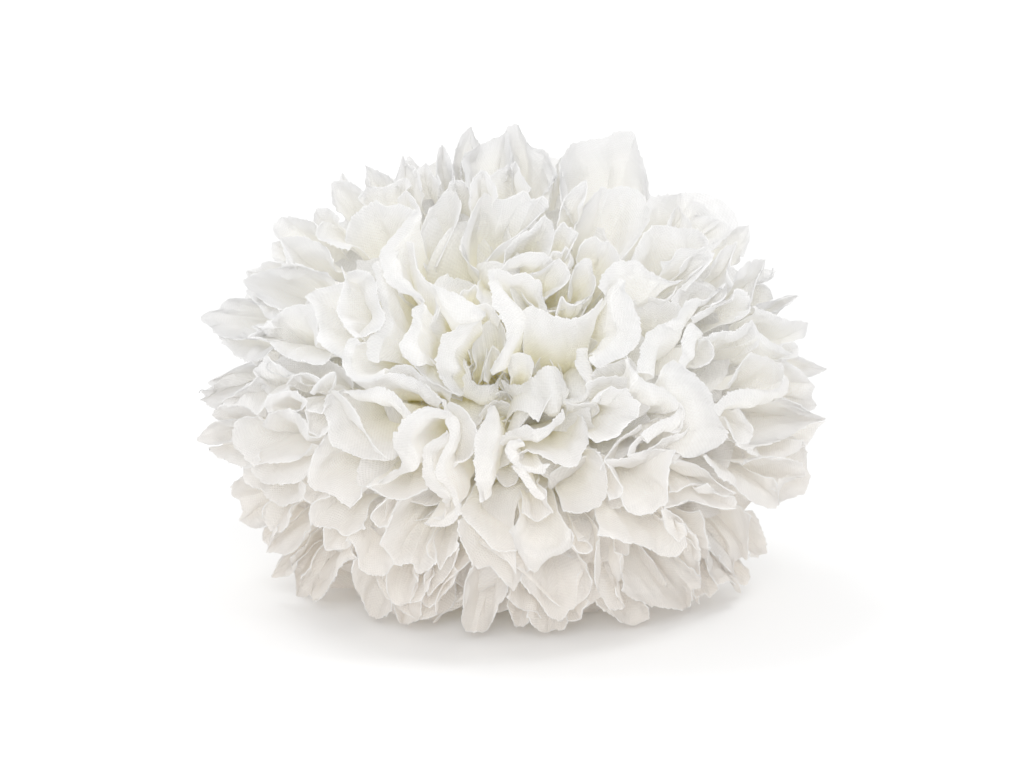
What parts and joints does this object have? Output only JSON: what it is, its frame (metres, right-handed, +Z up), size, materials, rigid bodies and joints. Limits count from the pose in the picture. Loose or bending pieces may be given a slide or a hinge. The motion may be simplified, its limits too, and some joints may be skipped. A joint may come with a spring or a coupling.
{
  "type": "dahlia flower head",
  "caption": "White cloth dahlia head of layered, waved petals round a packed middle, with a sepalled calyx and a short cut stem, lying on its lower petals.",
  "frame": {"origin": "middle of the bounding box on the surface the flower lies on", "axes": "+Z up, -Y the way the flower's face is turned, +X to the right as seen from the front"},
  "size_m": [0.1316, 0.1182, 0.1011],
  "materials": {
    "petal_cloth": "white woven silk cloth with a soft sheen and frayed cut edges",
    "calyx_green": "matt green moulded plastic"
  },
  "bodies": {
    "root": {"bloom": "petal_cloth", "calyx": "calyx_green"}
  },
  "joints": []
}
